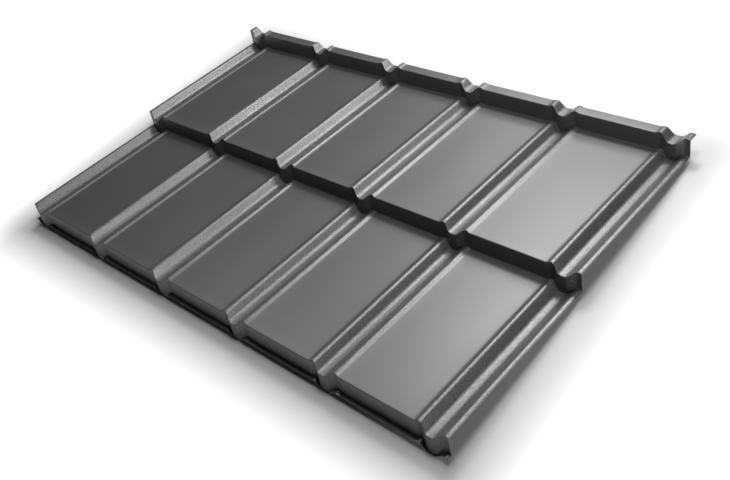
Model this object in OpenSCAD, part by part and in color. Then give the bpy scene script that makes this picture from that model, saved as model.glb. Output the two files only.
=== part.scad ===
// Stepped metal roof tile: one thin steel sheet, pressed into flat pans between narrow troughs,
// with an upright step at the front of each row that follows the same wave.
//
// X runs across the sheet, Y from the front edge (eave) to the back edge (ridge), Z is up.
// The origin is at the middle of the sheet's footprint, on the plane that its troughs rest on.

/* [Sheet] */
// Thickness of the coated steel
sheet_t = 0.5; // [0.4:0.05:0.8]
// Number of pans side by side
pan_count = 5; // [2:1:6]
// Distance from one trough to the next across the sheet
pan_pitch = 228; // [150:1:275]
// Number of stepped rows from front to back
row_count = 2; // [1:1:3]
// Distance from one step to the next
row_length = 352; // [250:1:420]

/* [Wave across the sheet] */
// Depth of the troughs below the pans
trough_depth = 9.7; // [6:0.1:14]
// Run of the steep wall on a trough's left side
wall_run = 15.5; // [10:0.1:20]
// Width of a trough's floor between the bend lines
floor_w = 15.7; // [10:0.1:22]
// Run of the gentler rise on a trough's right side
rise_run = 16.9; // [12:0.1:26]
// Height of the corner that the hump beside each pan rounds off
hump_h = 3.7; // [1.5:0.1:6]
// Run of the slope from the hump down to the pan
hump_run = 9.5; // [7:0.1:15]
// Height of the corner that the rim at the other side of each pan rounds off
rim_h = 3.5; // [1.5:0.1:6]
// Run of the slope from the pan up to the rim
rim_run = 10.1; // [8:0.1:20]

/* [Bends across the sheet] */
// Bend radius of the rim
rim_r = 9.4; // [3:0.1:14]
// Bend radius at the foot of the steep wall
wall_foot_r = 14.5; // [5:0.1:18]
// Bend radius at the foot of the gentler rise
rise_foot_r = 13.8; // [5:0.1:18]
// Bend radius of the hump
hump_r = 12.5; // [3:0.1:16]
// Bend radius where the hump runs into the pan
hump_foot_r = 15; // [5:0.5:25]
// Bend radius where the pan runs into the rim
rim_foot_r = 22; // [5:0.5:40]

/* [Steps] */
// Height of each step
step_h = 34.4; // [25:0.1:45]
// How far the foot of a step stands in front of its top edge
step_lean = 5.3; // [0:0.1:10]
// How far the step line moves forward for each millimetre that the wave drops
step_wave = 0.83; // [0:0.01:1]
// Bend radius along the top of each step
step_top_r = 2; // [1:0.1:4]
// Bend radius along the foot of each step
step_foot_r = 1; // [0.8:0.1:4]

/* [Edges] */
// Flat left on the front lip before the foot of the front step at a trough
front_lip = 0.3; // [0.2:0.1:20]
// Lip behind the back step under a pan, measured from the step's top edge
back_lip = 21.5; // [12:0.1:40]
// How far both cut edges move forward for each millimetre that the wave drops
lip_wave = 0.15; // [0:0.01:0.8]
// Width of the lip that is kept to the left of the first rim
left_lip = 7.5; // [2:0.1:18]
// How far the left lip falls from the rim's corner to its cut edge
left_drop = 1.1; // [0:0.1:4]
// Width of the slope that is kept to the right of the last hump
right_lip = 8.3; // [4:0.1:10]

/* [Hidden] */
sheet_color = [0.25, 0.25, 0.26];
// largest turn of one flat facet of a bend
facet_turn = 17;
// fall of a row from its front edge to the foot of the next step
row_fall = step_h / (row_length - step_lean);

// ---- bends of a path in a plane --------------------------------------------------------------

function unit(v) = v / norm(v);
function left_of(v) = [-v.y, v.x];
function turn(u, v) = atan2(u.x * v.y - u.y * v.x, u * v);
function turned(v, a) = [v.x * cos(a) - v.y * sin(a), v.x * sin(a) + v.y * cos(a)];

// The bend at corner c between directions u and v, as [point, normal] pairs along its arc.
function bend(c, u, v, r, steps) =
    let (
        a = turn(u, v),
        side = a < 0 ? -1 : 1,
        centre = c - u * r * tan(abs(a) / 2) + left_of(u) * r * side
    )
    [for (i = [0:steps])
        let (n = turned(left_of(u), a * i / steps))
        [centre - n * r * side, n]];

// ---- wave across the sheet -------------------------------------------------------------------

// Corners of one trough with its hump and pan, starting at the rim: [[x, z], bend radius].
function trough_corners(x) = [
    [[x, rim_h], rim_r],
    [[x + wall_run, -trough_depth], wall_foot_r],
    [[x + wall_run + floor_w, -trough_depth], rise_foot_r],
    [[x + wall_run + floor_w + rise_run, hump_h], hump_r]
];
function pan_corners(x) = [
    [[x + wall_run + floor_w + rise_run + hump_run, 0], hump_foot_r],
    [[x + pan_pitch - rim_run, 0], rim_foot_r]
];
corners = [
    for (i = [0:pan_count - 1])
        each concat(trough_corners(i * pan_pitch), pan_corners(i * pan_pitch)),
    each trough_corners(pan_count * pan_pitch)
];
last_hump = corners[len(corners) - 1][0];
left_edge = [-left_lip, rim_h - left_drop];
right_edge = last_hump + [right_lip, -right_lip * hump_h / hump_run];
path = concat([left_edge], [for (c = corners) c[0]], [right_edge]);
last_leg = len(path) - 2;
leg_length = [for (i = [0:last_leg]) norm(path[i + 1] - path[i])];
leg_way = [for (i = [0:last_leg]) unit(path[i + 1] - path[i])];

// What the bend at each point of the path takes of the legs beside it; nothing at the two edges.
bend_reach = [
    0,
    for (i = [1:last_leg]) corners[i - 1][1] * tan(abs(turn(leg_way[i - 1], leg_way[i])) / 2),
    0
];

// Bends that ask for more than the leg between them has are made smaller by the same share.
function leg_share(i) = leg_length[i] / (bend_reach[i] + bend_reach[i + 1]);

// Points of the wave from the left edge to the right edge: [[x, z], normal].
wave = [
    [left_edge, left_of(leg_way[0])],
    for (i = [1:last_leg])
        let (
            r = corners[i - 1][1] * min(1, leg_share(i - 1), leg_share(i)),
            steps = ceil(abs(turn(leg_way[i - 1], leg_way[i])) / facet_turn)
        )
        each bend(path[i], leg_way[i - 1], leg_way[i], r, steps),
    [right_edge, left_of(leg_way[last_leg])]
];

// ---- rows and steps --------------------------------------------------------------------------

// Directions seen from the side, in [y, z]: back along a row, and up a step.
along_row = unit([1, -row_fall]);
up_step = unit([step_lean, step_h]);

// Stations from front to back. Each is [y, z of the pan, forward shift and height for each
// millimetre of wave, normal in the side view].
function step_stations(y) = [
    for (b = bend([y - step_lean, 0], along_row, up_step, step_foot_r, 2))
        [b[0].x, b[0].y, step_wave, 1, b[1]],
    for (b = bend([y, step_h], up_step, along_row, step_top_r, 2))
        [b[0].x, b[0].y, step_wave, 1, b[1]]
];
edge_scale = 1 + (step_wave - lip_wave) * row_fall;
foot_bend = step_foot_r * tan(turn(along_row, up_step) / 2);
// from the foot of the front step under a pan to the edge of the front lip
front_reach = foot_bend + (step_wave - lip_wave) * trough_depth + front_lip;
stations = [
    [-step_lean - front_reach, row_fall * front_reach, lip_wave, edge_scale, left_of(along_row)],
    for (i = [0:row_count]) each step_stations(i * row_length),
    [row_count * row_length + back_lip, step_h - row_fall * back_lip, lip_wave, edge_scale,
        left_of(along_row)]
];

// Upper surface: the wave carried to a station.
function upper(w, s) = [w[0].x, s[0] + s[2] * w[0].y, s[1] + s[3] * w[0].y];

// Outward normal where the wave's tangent and the station's tangent cross.
function outward(w, s) =
    let (
        across = [w[1].y, -step_wave * w[1].x, -w[1].x],
        back = [0, s[4].y, -s[4].x]
    )
    unit(cross(across, back));

// Lower surface: one sheet thickness inside the upper one.
function lower(w, s) = upper(w, s) - sheet_t * outward(w, s);

// ---- sheet -----------------------------------------------------------------------------------

nw = len(wave);
ns = len(stations);
skin_n = nw * ns;
points = [
    for (s = stations, w = wave) upper(w, s),
    for (s = stations, w = wave) lower(w, s)
];
function quad(a, b, c, d) = [[a, b, c], [a, c, d]];
faces = [
    for (j = [0:ns - 2], i = [0:nw - 2])
        let (p = j * nw + i, q = p + nw)
        each concat(
            quad(p, q, q + 1, p + 1),
            quad(skin_n + p, skin_n + p + 1, skin_n + q + 1, skin_n + q)
        ),
    for (i = [0:nw - 2])
        let (p = i, q = (ns - 1) * nw + i)
        each concat(
            quad(p, p + 1, skin_n + p + 1, skin_n + p),
            quad(q, skin_n + q, skin_n + q + 1, q + 1)
        ),
    for (j = [0:ns - 2])
        let (p = j * nw, q = p + nw - 1)
        each concat(
            quad(p, skin_n + p, skin_n + p + nw, p + nw),
            quad(q, q + nw, skin_n + q + nw, skin_n + q)
        )
];

function low(axis) = min([for (p = points) p[axis]]);
function high(axis) = max([for (p = points) p[axis]]);
middle = [(low(0) + high(0)) / 2, (low(1) + high(1)) / 2, low(2)];

module tile_sheet() {
    color(sheet_color)
        translate(-middle)
            polyhedron(points = points, faces = faces, convexity = 6);
}

tile_sheet();
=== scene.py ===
import bpy
import numpy as np
from math import radians
from mathutils import Euler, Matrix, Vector


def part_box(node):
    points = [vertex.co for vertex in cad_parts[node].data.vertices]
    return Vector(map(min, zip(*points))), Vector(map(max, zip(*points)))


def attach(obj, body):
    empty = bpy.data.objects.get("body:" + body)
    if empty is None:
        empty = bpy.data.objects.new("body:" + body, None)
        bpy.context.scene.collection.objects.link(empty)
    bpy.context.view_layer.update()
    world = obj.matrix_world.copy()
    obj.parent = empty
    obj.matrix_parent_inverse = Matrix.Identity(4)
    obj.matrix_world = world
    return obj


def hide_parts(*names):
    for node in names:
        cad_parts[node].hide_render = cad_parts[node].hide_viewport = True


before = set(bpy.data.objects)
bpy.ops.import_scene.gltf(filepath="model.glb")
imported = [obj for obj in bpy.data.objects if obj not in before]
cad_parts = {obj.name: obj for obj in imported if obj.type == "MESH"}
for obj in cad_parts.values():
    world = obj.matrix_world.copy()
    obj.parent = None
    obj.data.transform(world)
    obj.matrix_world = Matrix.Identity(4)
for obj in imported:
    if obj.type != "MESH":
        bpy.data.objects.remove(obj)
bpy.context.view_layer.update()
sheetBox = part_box("tile_sheet")
print("frame loaded")


# what a roofer would call the sheet's sizes, in millimetres
tileSheet = {
    "pans": 5, "pitch": 228.0, "rows": 2, "rowLength": 352.0, "steel": 0.5,
    "troughDepth": 9.7, "wallRun": 15.5, "floorWidth": 15.7, "riseRun": 16.9,
    "humpHeight": 3.7, "humpRun": 9.5, "rimHeight": 3.5, "rimRun": 10.1,
    "rimBend": 9.4, "wallFootBend": 14.5, "riseFootBend": 13.8, "humpBend": 12.5,
    "humpFootBend": 15.0, "rimFootBend": 22.0,
    "stepHeight": 34.4, "stepLean": 5.3, "stepWave": 0.83,
    "stepTopBend": 2.0, "stepFootBend": 1.0,
    "frontLip": 0.3, "backLip": 21.5, "lipWave": 0.15,
    "leftLip": 7.5, "leftDrop": 1.1, "rightLip": 8.3,
    "turnPerFacet": 6.0,        # degrees of bend that one facet takes
    "panFacet": 16.0,           # longest facet across a flat
    "rowFacet": 24.0,           # longest facet along a row
    "tightFold": 2.0,           # bend radius at which the coat is stretched most and the painted highlight on folds is full
    "ribFade": 4.0,             # width over which the coat of a rib passes into that of a pan
}


def unit(v):
    # the vector made one long
    return v / np.linalg.norm(v)


def foldPath(corners, radii, turnPerFacet, longest):
    # a polyline whose corners are arcs: each arc is centre + radius * (cos t, sin t) between the two
    # tangent points, and each straight stretch is split evenly; returns points and unit tangents.
    # an arc takes radius * tan(turn / 2) of the legs beside it, and where two arcs ask for more than
    # their leg has, both are made smaller to fit it
    corners = np.asarray(corners, float)
    legs = np.diff(corners, axis=0)
    lengths = np.linalg.norm(legs, axis=1)
    along = legs / lengths[:, None]
    side = np.stack([-along[:, 1], along[:, 0]], 1)
    turns = np.arctan2((side[:-1] * along[1:]).sum(1), (along[:-1] * along[1:]).sum(1))
    reach = np.asarray(radii) * np.tan(abs(turns) / 2)
    taken = np.pad(reach, 1)
    share = np.minimum(lengths[:-1] / (taken[:-2] + reach), lengths[1:] / (reach + taken[2:]))
    bends = np.asarray(radii) * np.minimum(share, 1) * np.sign(turns)
    points, tangents = [corners[:1]], [along[:1]]
    for i, (turn, bend) in enumerate(zip(turns, bends)):
        start = corners[i + 1] - along[i] * bend * np.tan(turn / 2)
        straight = np.linalg.norm(start - points[-1][-1])
        parts = max(1, int(np.ceil(straight / longest)))
        t = np.linspace(0, 1, parts + 1)[1:-1, None]
        if len(t):
            points.append(points[-1][-1] + (start - points[-1][-1]) * t)
            tangents.append(np.repeat(along[i:i + 1], len(t), 0))
        steps = max(2, int(np.ceil(np.degrees(abs(turn)) / turnPerFacet)))
        a = np.linspace(0, turn, steps + 1)[:, None]
        turned = along[i] * np.cos(a) + side[i] * np.sin(a)
        out = np.stack([-turned[:, 1], turned[:, 0]], 1)
        points.append(start + side[i] * bend - out * bend)
        tangents.append(turned)
    straight = np.linalg.norm(corners[-1] - points[-1][-1])
    parts = max(1, int(np.ceil(straight / longest)))
    t = np.linspace(0, 1, parts + 1)[1:, None]
    points.append(points[-1][-1] + (corners[-1] - points[-1][-1]) * t)
    tangents.append(np.repeat(along[-1:], len(t), 0))
    return np.concatenate(points), np.concatenate(tangents)


def waveAcross(s):
    # the wave seen from the front, [x, z]: steep wall, trough floor, rise, hump, pan and rim, repeated
    corners = [(-s["leftLip"], s["rimHeight"] - s["leftDrop"])]
    radii = []
    for i in range(s["pans"] + 1):
        x = i * s["pitch"]
        floorStart = x + s["wallRun"]
        floorEnd = floorStart + s["floorWidth"]
        hump = floorEnd + s["riseRun"]
        corners += [(x, s["rimHeight"]), (floorStart, -s["troughDepth"]),
                    (floorEnd, -s["troughDepth"]), (hump, s["humpHeight"])]
        radii += [s["rimBend"], s["wallFootBend"], s["riseFootBend"], s["humpBend"]]
        if i < s["pans"]:
            corners += [(hump + s["humpRun"], 0), (x + s["pitch"] - s["rimRun"], 0)]
            radii += [s["humpFootBend"], s["rimFootBend"]]
    corners.append((hump + s["rightLip"], s["humpHeight"] * (1 - s["rightLip"] / s["humpRun"])))
    return foldPath(corners, radii, s["turnPerFacet"], s["panFacet"])


def stepsAlong(s):
    # the side view, [y, z]: front lip, then a step up and a row down for each row, then the back lip;
    # shift and rise say how far each point moves back and up for each millimetre of wave
    fall = s["stepHeight"] / (s["rowLength"] - s["stepLean"])
    corners, radii = [], []
    for i in range(s["rows"] + 1):
        y = i * s["rowLength"]
        corners += [(y - s["stepLean"], 0), (y, s["stepHeight"])]
        radii += [s["stepFootBend"], s["stepTopBend"]]
    downRow = unit(np.array([1, -fall]))
    upStep = unit(np.array([s["stepLean"], s["stepHeight"]]))
    halfTurn = np.tan(np.arccos(downRow @ upStep) / 2)
    footReach, topReach = s["stepFootBend"] * halfTurn, s["stepTopBend"] * halfTurn
    lipShift = s["stepWave"] - s["lipWave"]
    frontReach = footReach + lipShift * s["troughDepth"] + s["frontLip"]
    front = np.array([-s["stepLean"] - frontReach, fall * frontReach])
    back = np.array([s["rows"] * s["rowLength"] + s["backLip"], s["stepHeight"] - fall * s["backLip"]])
    points, tangents = foldPath([front, *corners, back], radii, s["turnPerFacet"], s["rowFacet"])
    # the cut edges of the two lips follow the wave less than the steps do, so the shift fades over them
    frontFlat = -s["stepLean"] - footReach * downRow[0]
    backFlat = s["rows"] * s["rowLength"] + topReach * downRow[0]
    fade = np.clip((points[:, 0] - front[0]) / (frontFlat - front[0]), 0, 1)
    fade *= np.clip((back[0] - points[:, 0]) / (back[0] - backFlat), 0, 1)
    shift = s["lipWave"] + lipShift * fade
    rise = 1 + lipShift * fall * (1 - fade)
    return points, tangents, shift, rise


def sheetSkins(s):
    # upper skin: x = wave x, y = side y + shift * wave z, z = side z + rise * wave z;
    # lower skin: the same points moved one steel thickness against the normal, the cross product of
    # the wave's tangent, leant back as the steps are, and the side view's tangent
    wave, waveTangent = waveAcross(s)
    side, sideTangent, shift, rise = stepsAlong(s)
    w = wave[None, :, 1]
    upper = np.stack([np.broadcast_to(wave[None, :, 0], (len(side), len(wave))),
                      side[:, :1] + shift[:, None] * w,
                      side[:, 1:] + rise[:, None] * w], 2)
    across = np.zeros((1, len(wave), 3))
    across[0, :, 0] = waveTangent[:, 0]
    across[0, :, 1] = s["stepWave"] * waveTangent[:, 1]
    across[0, :, 2] = waveTangent[:, 1]
    back = np.zeros((len(side), 1, 3))
    back[:, 0, 1:] = sideTangent
    normal = np.cross(across, back)
    normal /= np.linalg.norm(normal, axis=2)[:, :, None]
    return upper, upper - s["steel"] * normal


def gridFaces(rows, cols, start, flip):
    # quads of a rows x cols grid of points numbered from start; flip turns them over
    p = start + np.arange(rows - 1)[:, None] * cols + np.arange(cols - 1)[None, :]
    quads = np.stack([p, p + 1, p + cols + 1, p + cols], 2).reshape(-1, 4)
    return quads[:, ::-1] if flip else quads


def foldSharpness(points, tangents, tightest):
    # turn per length at each point of a path, times the tightest radius: one in a full fold, zero on
    # a flat
    turn = np.arccos(np.clip((tangents[1:] * tangents[:-1]).sum(1), -1, 1))
    sharp = np.append(turn / np.linalg.norm(np.diff(points, axis=0), axis=1), 0) * tightest
    return np.clip(np.maximum(sharp, np.roll(sharp, 1)), 0, 1)


def ribShare(x, s):
    # one across a trough with its rim and hump, zero on a pan, over ribFade millimetres at each side
    start = (x + s["rimRun"]) % s["pitch"]
    width = s["rimRun"] + s["wallRun"] + s["floorWidth"] + s["riseRun"] + s["humpRun"]
    return np.clip(np.minimum(start, width - start) / s["ribFade"], 0, 1)


def rimLoop(rows, cols):
    # numbers of the points round the border of a rows x cols grid, in order
    return np.concatenate([np.arange(cols), np.arange(1, rows) * cols + cols - 1,
                           (rows - 1) * cols + np.arange(cols - 2, -1, -1),
                           np.arange(rows - 2, 0, -1) * cols])


def placedInBox(points):
    # millimetres to metres, the middle of the footprint and the lowest point put where the node has
    # them; these bends are finer than the construction's, so what stands a hair out of its box is
    # trimmed
    low, high = points.min(0), points.max(0)
    middle = np.array([(low[0] + high[0]) / 2, (low[1] + high[1]) / 2, low[2]])
    start, end = np.array(sheetBox[0]), np.array(sheetBox[1])
    place = np.array([(start[0] + end[0]) / 2, (start[1] + end[1]) / 2, start[2]])
    return np.clip((points - middle) / 1000 + place, start, end)


def sharpenRims(mesh, rims, skin):
    # the rims of both skins are sharp, so that the cut edge does not bend their shading; an edge is
    # known by its lower point number + twice the points of a skin * its higher one
    ends = np.zeros(len(mesh.edges) * 2, np.int32)
    mesh.edges.foreach_get("vertices", ends)
    key = [1, 2 * skin]
    isRim = np.isin(np.sort(ends.reshape(-1, 2), 1) @ key, np.sort(rims, 1) @ key)
    mesh.attributes.new("sharp_edge", "BOOLEAN", "EDGE").data.foreach_set("value", isRim)


def makeTileSheet(s):
    # both skins, stitched to each other along their rims by the cut edge; the points keep how tightly
    # the sheet is folded there and whether they are on a rib
    upper, lower = sheetSkins(s)
    rows, cols = upper.shape[:2]
    skin = rows * cols
    points = placedInBox(np.concatenate([upper.reshape(-1, 3), lower.reshape(-1, 3)]))
    rim = rimLoop(rows, cols)
    nextRim = np.roll(rim, -1)
    cutEdge = np.stack([rim + skin, nextRim + skin, nextRim, rim], 1)
    faces = np.concatenate([gridFaces(rows, cols, 0, False), gridFaces(rows, cols, skin, True), cutEdge])
    mesh = bpy.data.meshes.new("tileSheet")
    mesh.from_pydata(points.tolist(), [], faces.tolist())
    flats = (rows - 1) * (cols - 1)
    kinds = np.repeat([0, 1, 2], [flats, flats, len(rim)])
    mesh.polygons.foreach_set("material_index", kinds.astype(np.int32))
    mesh.polygons.foreach_set("use_smooth", kinds < 2)
    across = foldSharpness(*waveAcross(s), s["tightFold"])
    along = foldSharpness(*stepsAlong(s)[:2], s["tightFold"])
    fold = np.tile(np.maximum(along[:, None], across[None, :]).ravel(), 2)
    rib = np.tile(ribShare(waveAcross(s)[0][:, 0], s), 2 * rows)
    for name, values in (("fold", fold), ("rib", rib)):
        mesh.attributes.new(name, "FLOAT", "POINT").data.foreach_set("value", values.astype(np.float32))
    rims = np.stack([rim, nextRim], 1)
    sharpenRims(mesh, np.concatenate([rims, rims + skin]), skin)
    mesh.update()
    piece = bpy.data.objects.new("tileSheet", mesh)
    bpy.context.scene.collection.objects.link(piece)
    print("tile sheet", rows, "x", cols, "points a skin")
    return piece


# the three finishes of the sheet; colours are linear, sizes in metres
coat = {
    "colour": (0.050, 0.0505, 0.052), "contrast": 0.5,
    # foldHighlight paints the coat lighter along tight folds: a painted highlight on top of the stretched
    # coat
    "grainShare": 0.30, "ribGrain": 2.0, "mottleShare": 0.12, "foldHighlight": 0.22,
    "roughness": 0.40, "roughSpread": 0.07, "gloss": 1.0, "ior": 1.62,
    "shine": 0.75, "shineContrast": 1 / 3, "ribGlint": 7.0,
    "grain": 600.0, "grainDepth": 0.00005,       # cells per metre, height of a cell
    "peel": 190.0, "peelDepth": 0.00006,
    "mottle": 7.0,
}
backing = {
    "colour": (0.30, 0.30, 0.29), "contrast": 0.5,
    # a negative foldHighlight makes the backing darker along tight folds
    "grainShare": 0.20, "ribGrain": 0.2, "mottleShare": 0.20, "foldHighlight": -0.10,
    "roughness": 0.55, "roughSpread": 0.10, "gloss": 0.5, "ior": 1.5,
    "shine": 0.8, "shineContrast": 0.25, "ribGlint": 0.5,
    "grain": 700.0, "grainDepth": 0.00001,
    "peel": 120.0, "peelDepth": 0.00005,
    "mottle": 4.0,
}
cutMetal = {
    "zinc": (0.42, 0.43, 0.45), "steel": (0.16, 0.155, 0.15),
    "contrast": 1.6, "roughness": 0.45, "roughSpread": 0.2,
    "streaks": 1300.0, "streakLength": 10.0,     # cells per metre, length of a cell over its width
    "streakDepth": 0.00004, "patches": 45.0,
}


def addNode(tree, kind, values=None, **settings):
    # a shader node with its settings, and numbers for the inputs named in values
    node = tree.nodes.new("ShaderNode" + kind)
    for name, value in settings.items():
        setattr(node, name, value)
    for name, value in (values or {}).items():
        node.inputs[name].default_value = value
    return node


def arithmetic(tree, operation, *terms):
    # one step of arithmetic; a term is a socket or a number
    node = addNode(tree, "Math", operation=operation)
    for socket, term in zip(node.inputs, terms):
        if isinstance(term, (int, float)):
            socket.default_value = term
        else:
            tree.links.new(term, socket)
    return node.outputs[0]


def noise(tree, where, scale, detail=3.0):
    # fractal noise about zero, with detail finer layers
    node = addNode(tree, "TexNoise", {"Scale": scale, "Detail": detail, "Roughness": 0.55})
    tree.links.new(where, node.inputs["Vector"])
    return arithmetic(tree, "SUBTRACT", node.outputs["Fac"], 0.5)


def blend(tree, share, low, high):
    # a colour that runs from low to high as share runs from zero to one
    node = addNode(tree, "Mix", data_type="RGBA")
    node.inputs["A"].default_value = (*low, 1)
    node.inputs["B"].default_value = (*high, 1)
    tree.links.new(share, node.inputs["Factor"])
    return node.outputs["Result"]


def relief(tree, height, depth, under=None):
    # the surface's normal, bent by a height of depth metres, on top of the relief under it
    node = addNode(tree, "Bump", {"Distance": depth})
    tree.links.new(height, node.inputs["Height"])
    if under:
        tree.links.new(under, node.inputs["Normal"])
    return node.outputs["Normal"]


def startFinish(name):
    finish = bpy.data.materials.new(name)
    finish.use_nodes = True
    tree = finish.node_tree
    return finish, tree, tree.nodes["Principled BSDF"], addNode(tree, "TexCoord").outputs["Object"]


def paintedFinish(name, s):
    # tone = 1/2 + (grainShare + ribGrain * rib) * grain + mottleShare * mottle + foldHighlight * fold,
    # and the colour runs with it from colour * (1 - contrast) to colour * (1 + contrast): the coat's
    # grain opens where the ribs are drawn; the fold term is partly the coat stretched thin on tight folds
    # and partly a painted highlight along them, and with a negative share it darkens the folds instead;
    # the roughness is roughness + roughSpread * (grain + mottle)
    finish, tree, shader, where = startFinish(name)
    grain = noise(tree, where, s["grain"], detail=1.0)
    peel = noise(tree, where, s["peel"], detail=1.0)
    mottle = noise(tree, where, s["mottle"])
    fold = addNode(tree, "Attribute", attribute_name="fold").outputs["Fac"]
    rib = addNode(tree, "Attribute", attribute_name="rib").outputs["Fac"]
    share = arithmetic(tree, "MULTIPLY_ADD", rib, s["ribGrain"], s["grainShare"])
    tone = arithmetic(tree, "MULTIPLY_ADD", grain, share, 0.5)
    tone = arithmetic(tree, "MULTIPLY_ADD", mottle, s["mottleShare"], tone)
    # painted highlight: colour lighter along tight folds, besides the stretched coat; darker where the
    # share is negative
    tone = arithmetic(tree, "MULTIPLY_ADD", fold, s["foldHighlight"], tone)
    low, high = [tuple(c * k for c in s["colour"]) for k in (1 - s["contrast"], 1 + s["contrast"])]
    tree.links.new(blend(tree, tone, low, high), shader.inputs["Base Color"])
    uneven = arithmetic(tree, "ADD", grain, mottle)
    rough = arithmetic(tree, "MULTIPLY_ADD", uneven, s["roughSpread"], s["roughness"])
    tree.links.new(rough, shader.inputs["Roughness"])
    # the grain glints where it opens: the tint of the gloss is shine times a pattern that runs from
    # 1 - shineContrast to 1 + shineContrast by 1/2 + ribGlint * rib * grain; an exported model keeps
    # only the shine, which is the mean
    ribGlint = arithmetic(tree, "MULTIPLY", rib, s["ribGlint"])
    glint = arithmetic(tree, "MULTIPLY_ADD", ribGlint, grain, 0.5)
    dull, bright = (1 - s["shineContrast"],) * 3, (1 + s["shineContrast"],) * 3
    tint = addNode(tree, "Mix", {"Factor": 1.0, "A": (*[s["shine"]] * 3, 1)},
                   data_type="RGBA", blend_type="MULTIPLY")
    tree.links.new(blend(tree, glint, dull, bright), tint.inputs["B"])
    tree.links.new(tint.outputs["Result"], shader.inputs["Specular Tint"])
    shader.inputs["Specular IOR Level"].default_value = s["gloss"]
    shader.inputs["IOR"].default_value = s["ior"]
    soft = relief(tree, peel, s["peelDepth"])
    tree.links.new(relief(tree, grain, s["grainDepth"], soft), shader.inputs["Normal"])
    return finish


def shearedFinish(name, s):
    # bare cut steel with zinc smeared over it: the colour runs from steel to zinc by
    # 1/2 + contrast * (patches + streaks), and fine streaks down the cut set roughness and relief
    finish, tree, shader, where = startFinish(name)
    drawn = addNode(tree, "Mapping", {"Scale": (1, 1, 1 / s["streakLength"])})
    tree.links.new(where, drawn.inputs["Vector"])
    streaks = noise(tree, drawn.outputs["Vector"], s["streaks"])
    patches = noise(tree, where, s["patches"])
    smear = arithmetic(tree, "ADD", patches, streaks)
    share = arithmetic(tree, "MULTIPLY_ADD", smear, s["contrast"], 0.5)
    tree.links.new(blend(tree, share, s["steel"], s["zinc"]), shader.inputs["Base Color"])
    rough = arithmetic(tree, "MULTIPLY_ADD", streaks, s["roughSpread"], s["roughness"])
    tree.links.new(rough, shader.inputs["Roughness"])
    tree.links.new(relief(tree, streaks, s["streakDepth"]), shader.inputs["Normal"])
    shader.inputs["Metallic"].default_value = 1.0
    return finish


sheet = makeTileSheet(tileSheet)
for finish in (paintedFinish("graphiteCoat", coat), paintedFinish("backingCoat", backing),
               shearedFinish("cutEdge", cutMetal)):
    sheet.data.materials.append(finish)
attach(sheet, "root")
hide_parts("tile_sheet")
print("finishes set")


stage = {
    "floorSize": 12.0, "floorColour": 0.58,
    "floorLift": 1.0,           # light added to the floor where it is seen or mirrored, so it reads white
    "liftReach": 0.12,          # distance from the sheet over which most of that light sets in
    "roomLight": 0.02,          # the room's light on everything, besides the lamps
    "wallTop": (0.0, 0.08),     # heights, on a ray of length one, between which the white wall fades
    "cameraAt": (1.2491, -0.7863, 1.1338), "cameraTurn": (46.685, 16.426, 41.638),
    "lens": 45.11, "filmWidth": 36.0, "nearest": 0.01,
}
lamps = {                       # round soft lamps, all turned to the sheet: place, width, watts
    "key": ((-0.30, 1.50, 1.90), 0.4, 17.7),
    "keyLeft": ((-0.80, 1.35, 2.15), 0.44, 12.3),
    "above": ((0.50, 0.20, 1.50), 0.6, 10.0),
    "behind": ((0.32, 1.01, 1.07), 0.6, 9.6),
    "behindLeft": ((-1.00, 2.20, 1.60), 0.8, 9.5),
    "lowRight": ((1.48, -0.12, 0.19), 0.6, 6.4),
    "left": ((-1.30, 0.50, 1.90), 0.8, 5.2),
}


def seenOrMirrored(tree):
    # one on camera, glossy and transmission rays and zero on the others; then the same for camera rays
    rays = addNode(tree, "LightPath").outputs
    either = arithmetic(tree, "MAXIMUM", rays["Is Camera Ray"], rays["Is Glossy Ray"])
    return arithmetic(tree, "MAXIMUM", either, rays["Is Transmission Ray"]), rays["Is Camera Ray"]


def distanceOff(tree, size):
    # distance from a footprint round the origin = length of (|x, y| - half its size), none below zero
    away = addNode(tree, "TexCoord").outputs["Object"]
    for operation, other in (("ABSOLUTE", (0, 0, 0)), ("SUBTRACT", (size.x / 2, size.y / 2, 0)),
                             ("MAXIMUM", (0, 0, 0))):
        node = addNode(tree, "VectorMath", operation=operation)
        tree.links.new(away, node.inputs[0])
        node.inputs[1].default_value = other
        away = node.outputs["Vector"]
    length = addNode(tree, "VectorMath", operation="LENGTH")
    tree.links.new(away, length.inputs[0])
    return length.outputs["Value"]


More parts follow.
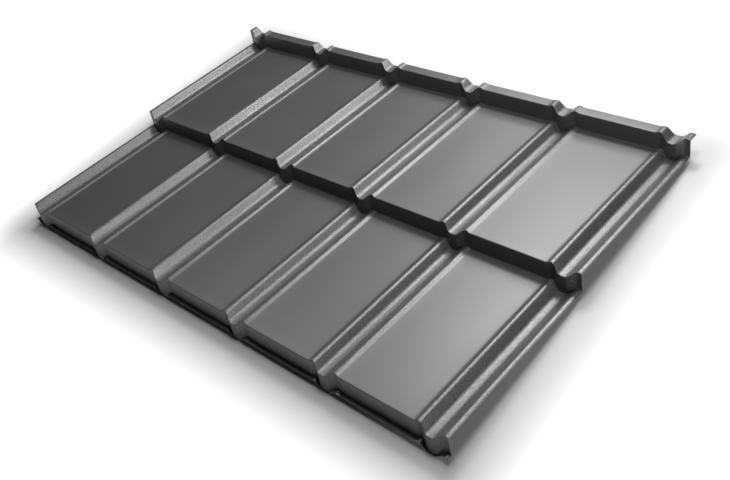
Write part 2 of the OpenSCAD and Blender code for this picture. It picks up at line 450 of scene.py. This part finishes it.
def makeFloor(s):
    # the light added to the floor is floorLift * (1 - e ^ -(distance / liftReach) ^ 2)
    mesh = bpy.data.meshes.new("floor")
    h = s["floorSize"] / 2
    mesh.from_pydata([(-h, -h, 0), (h, -h, 0), (h, h, 0), (-h, h, 0)], [], [(0, 1, 2, 3)])
    floor = bpy.data.objects.new("floor", mesh)
    bpy.context.scene.collection.objects.link(floor)
    white = bpy.data.materials.new("floorWhite")
    white.use_nodes = True
    tree = white.node_tree
    shader = tree.nodes["Principled BSDF"]
    shader.inputs["Base Color"].default_value = (*[s["floorColour"]] * 3, 1)
    shader.inputs["Roughness"].default_value = 1.0
    shader.inputs["Specular IOR Level"].default_value = 0.0
    shader.inputs["Emission Color"].default_value = (1, 1, 1, 1)
    share = arithmetic(tree, "DIVIDE", distanceOff(tree, sheetBox[1] - sheetBox[0]), s["liftReach"])
    power = arithmetic(tree, "MULTIPLY", arithmetic(tree, "POWER", share, 2.0), -1.0)
    clear = arithmetic(tree, "SUBTRACT", 1.0, arithmetic(tree, "EXPONENT", power))
    lift = arithmetic(tree, "MULTIPLY", seenOrMirrored(tree)[0], s["floorLift"])
    tree.links.new(arithmetic(tree, "MULTIPLY", lift, clear), shader.inputs["Emission Strength"])
    mesh.materials.append(white)


def makeRoom(s):
    # white to the camera; white up to the top of the wall in reflections; dim to everything else
    world = bpy.data.worlds.new("room")
    world.use_nodes = True
    tree = world.node_tree
    mirrored, seen = seenOrMirrored(tree)
    height = addNode(tree, "SeparateXYZ")
    tree.links.new(addNode(tree, "TexCoord").outputs["Generated"], height.inputs["Vector"])
    fade = {"From Min": s["wallTop"][0], "From Max": s["wallTop"][1], "To Min": 1.0, "To Max": 0.0}
    wall = addNode(tree, "MapRange", fade)
    tree.links.new(height.outputs["Z"], wall.inputs["Value"])
    white = arithmetic(tree, "MULTIPLY", mirrored, wall.outputs["Result"])
    white = arithmetic(tree, "MAXIMUM", white, seen)
    room = tree.nodes["Background"].inputs
    tree.links.new(arithmetic(tree, "MAXIMUM", white, s["roomLight"]), room["Strength"])
    room["Color"].default_value = (1, 1, 1, 1)
    bpy.context.scene.world = world


def makeCamera(s):
    data = bpy.data.cameras.new("camera")
    data.lens = s["lens"]
    data.sensor_width = s["filmWidth"]
    data.clip_start = s["nearest"]
    camera = bpy.data.objects.new("camera", data)
    camera.location = s["cameraAt"]
    camera.rotation_euler = Euler([radians(a) for a in s["cameraTurn"]], "XYZ")
    bpy.context.scene.collection.objects.link(camera)
    bpy.context.scene.camera = camera


def makeLamp(name, at, width, watts):
    data = bpy.data.lights.new(name, "AREA")
    data.shape = "DISK"
    data.size = width
    data.energy = watts
    lamp = bpy.data.objects.new(name, data)
    lamp.location = at
    lamp.rotation_euler = (-Vector(at)).to_track_quat("-Z", "Y").to_euler()
    bpy.context.scene.collection.objects.link(lamp)


makeFloor(stage)
makeRoom(stage)
makeCamera(stage)
for name, (at, width, watts) in lamps.items():
    makeLamp(name, at, width, watts)
bpy.context.scene.view_settings.view_transform = "Standard"
print("stage set with", len(lamps), "lamps")
